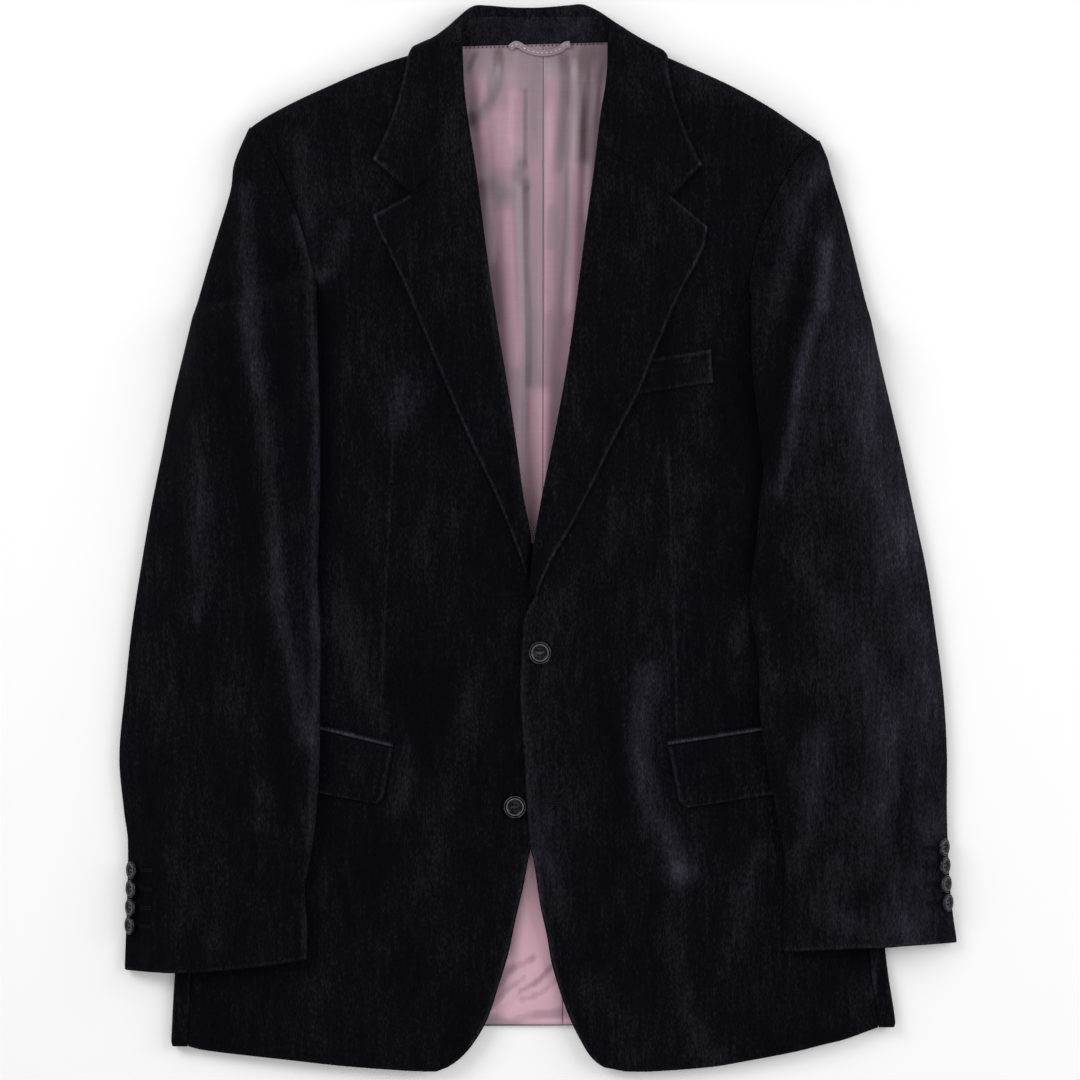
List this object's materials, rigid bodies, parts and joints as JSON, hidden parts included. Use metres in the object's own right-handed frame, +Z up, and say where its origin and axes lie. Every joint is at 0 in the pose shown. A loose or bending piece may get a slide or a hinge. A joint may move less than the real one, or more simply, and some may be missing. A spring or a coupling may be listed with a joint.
{
  "type": "sport coat",
  "caption": "Single-breasted velveteen sport coat with notched lapels, flap pockets and a satin lining, laid flat front up.",
  "frame": {"origin": "centre of the coat's outline on the surface that it lies on", "axes": "+Z up from the surface, +Y from hem to collar, +X to the wearer's left"},
  "size_m": [0.6529, 0.8298, 0.0356],
  "materials": {
    "velveteen": "matte short pile",
    "lining": "satin, two-tone",
    "button": "gloss"
  },
  "bodies": {
    "root": {"front_right": "velveteen", "front_left": "velveteen", "side_panel_right": "velveteen", "side_panel_left": "velveteen", "back_right": "velveteen", "back_left": "velveteen", "lapel_right": "velveteen", "lapel_left": "velveteen", "collar": "velveteen", "collar_stand": "velveteen", "top_sleeve_right": "velveteen", "top_sleeve_left": "velveteen", "under_sleeve_right": "velveteen", "under_sleeve_left": "velveteen", "pocket_flap_right": "velveteen", "pocket_flap_left": "velveteen", "pocket_jet_right": "velveteen", "pocket_jet_left": "velveteen", "chest_welt": "velveteen", "back_lining_right": "lining", "back_lining_left": "lining", "hanger_loop": "lining", "front_button_1": "button", "front_button_2": "button", "cuff_button_right_1": "button", "cuff_button_right_2": "button", "cuff_button_right_3": "button", "cuff_button_right_4": "button", "cuff_button_left_1": "button", "cuff_button_left_2": "button", "cuff_button_left_3": "button", "cuff_button_left_4": "button"}
  },
  "joints": []
}
